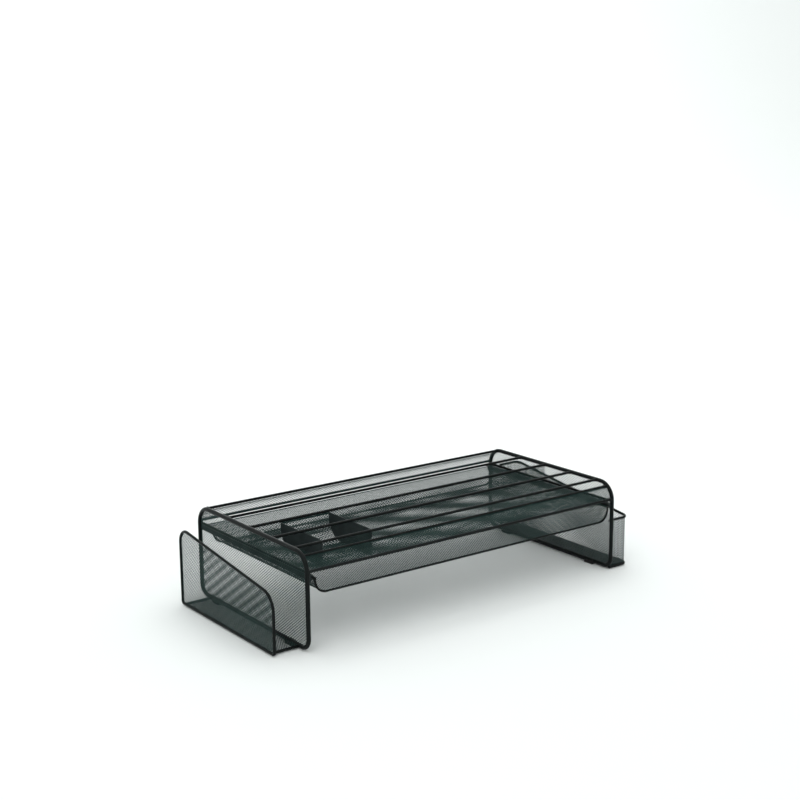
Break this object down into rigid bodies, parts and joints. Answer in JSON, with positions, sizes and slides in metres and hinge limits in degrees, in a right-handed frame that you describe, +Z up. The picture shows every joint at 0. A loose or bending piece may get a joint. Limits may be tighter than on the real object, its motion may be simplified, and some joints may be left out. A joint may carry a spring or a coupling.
{
  "type": "monitor riser stand",
  "caption": "Black steel-mesh monitor riser with a wire deck, organiser tray, pull-out under-deck tray, side file pocket and supplies bin.",
  "frame": {"origin": "on the desk plane, under the middle of the main frame between the two end hoops", "axes": "+X to the right seen from the front (file pocket on -X, supplies bin on +X), +Y to the back, +Z up"},
  "size_m": [0.6107, 0.282, 0.134],
  "materials": {
    "steel_wire": "satin black powder coat",
    "steel_mesh": "satin black powder coat on expanded steel mesh",
    "steel_plate": "satin black powder coat on plain sheet",
    "rubber": "matt black rubber"
  },
  "bodies": {
    "frame": {"back_apron_mesh": "steel_mesh", "back_ring_rail": "steel_wire", "bin_base_wire": "steel_wire", "bin_floor": "steel_plate", "bin_rim": "steel_wire", "bin_wall_mesh": "steel_mesh", "deck_rail_back": "steel_wire", "deck_rail_front": "steel_wire", "deck_rail_lip": "steel_wire", "deck_rail_middle": "steel_wire", "deck_rail_rear": "steel_wire", "end_hoop_left": "steel_wire", "end_hoop_right": "steel_wire", "end_mesh_left": "steel_mesh", "end_mesh_right": "steel_mesh", "floor_wire": "steel_wire", "foot_pads": "rubber", "front_ring_rail": "steel_wire", "front_top_rail": "steel_wire", "note_box_left_side": "steel_plate", "note_box_mesh": "steel_mesh", "note_box_right_side": "steel_plate", "organiser_tray_mesh": "steel_mesh", "pocket_floor_mesh": "steel_mesh", "pocket_loop": "steel_wire", "pocket_mesh": "steel_mesh", "pocket_tie_back": "steel_wire", "pocket_tie_front": "steel_wire", "runner_left": "steel_plate", "runner_right": "steel_plate", "side_rail_left": "steel_wire", "side_rail_right": "steel_wire", "tray_back_mesh": "steel_mesh"},
    "pull_out_tray": {"drawer_mesh": "steel_mesh", "drawer_front_bow": "steel_wire", "drawer_back_bow": "steel_wire", "drawer_slide_left": "steel_wire", "drawer_slide_right": "steel_wire"}
  },
  "joints": [
    {"name": "tray_slide", "type": "slide", "parent": "frame", "child": "pull_out_tray", "axis": [0, -1, 0], "range_m": [0, 0.17]}
  ]
}
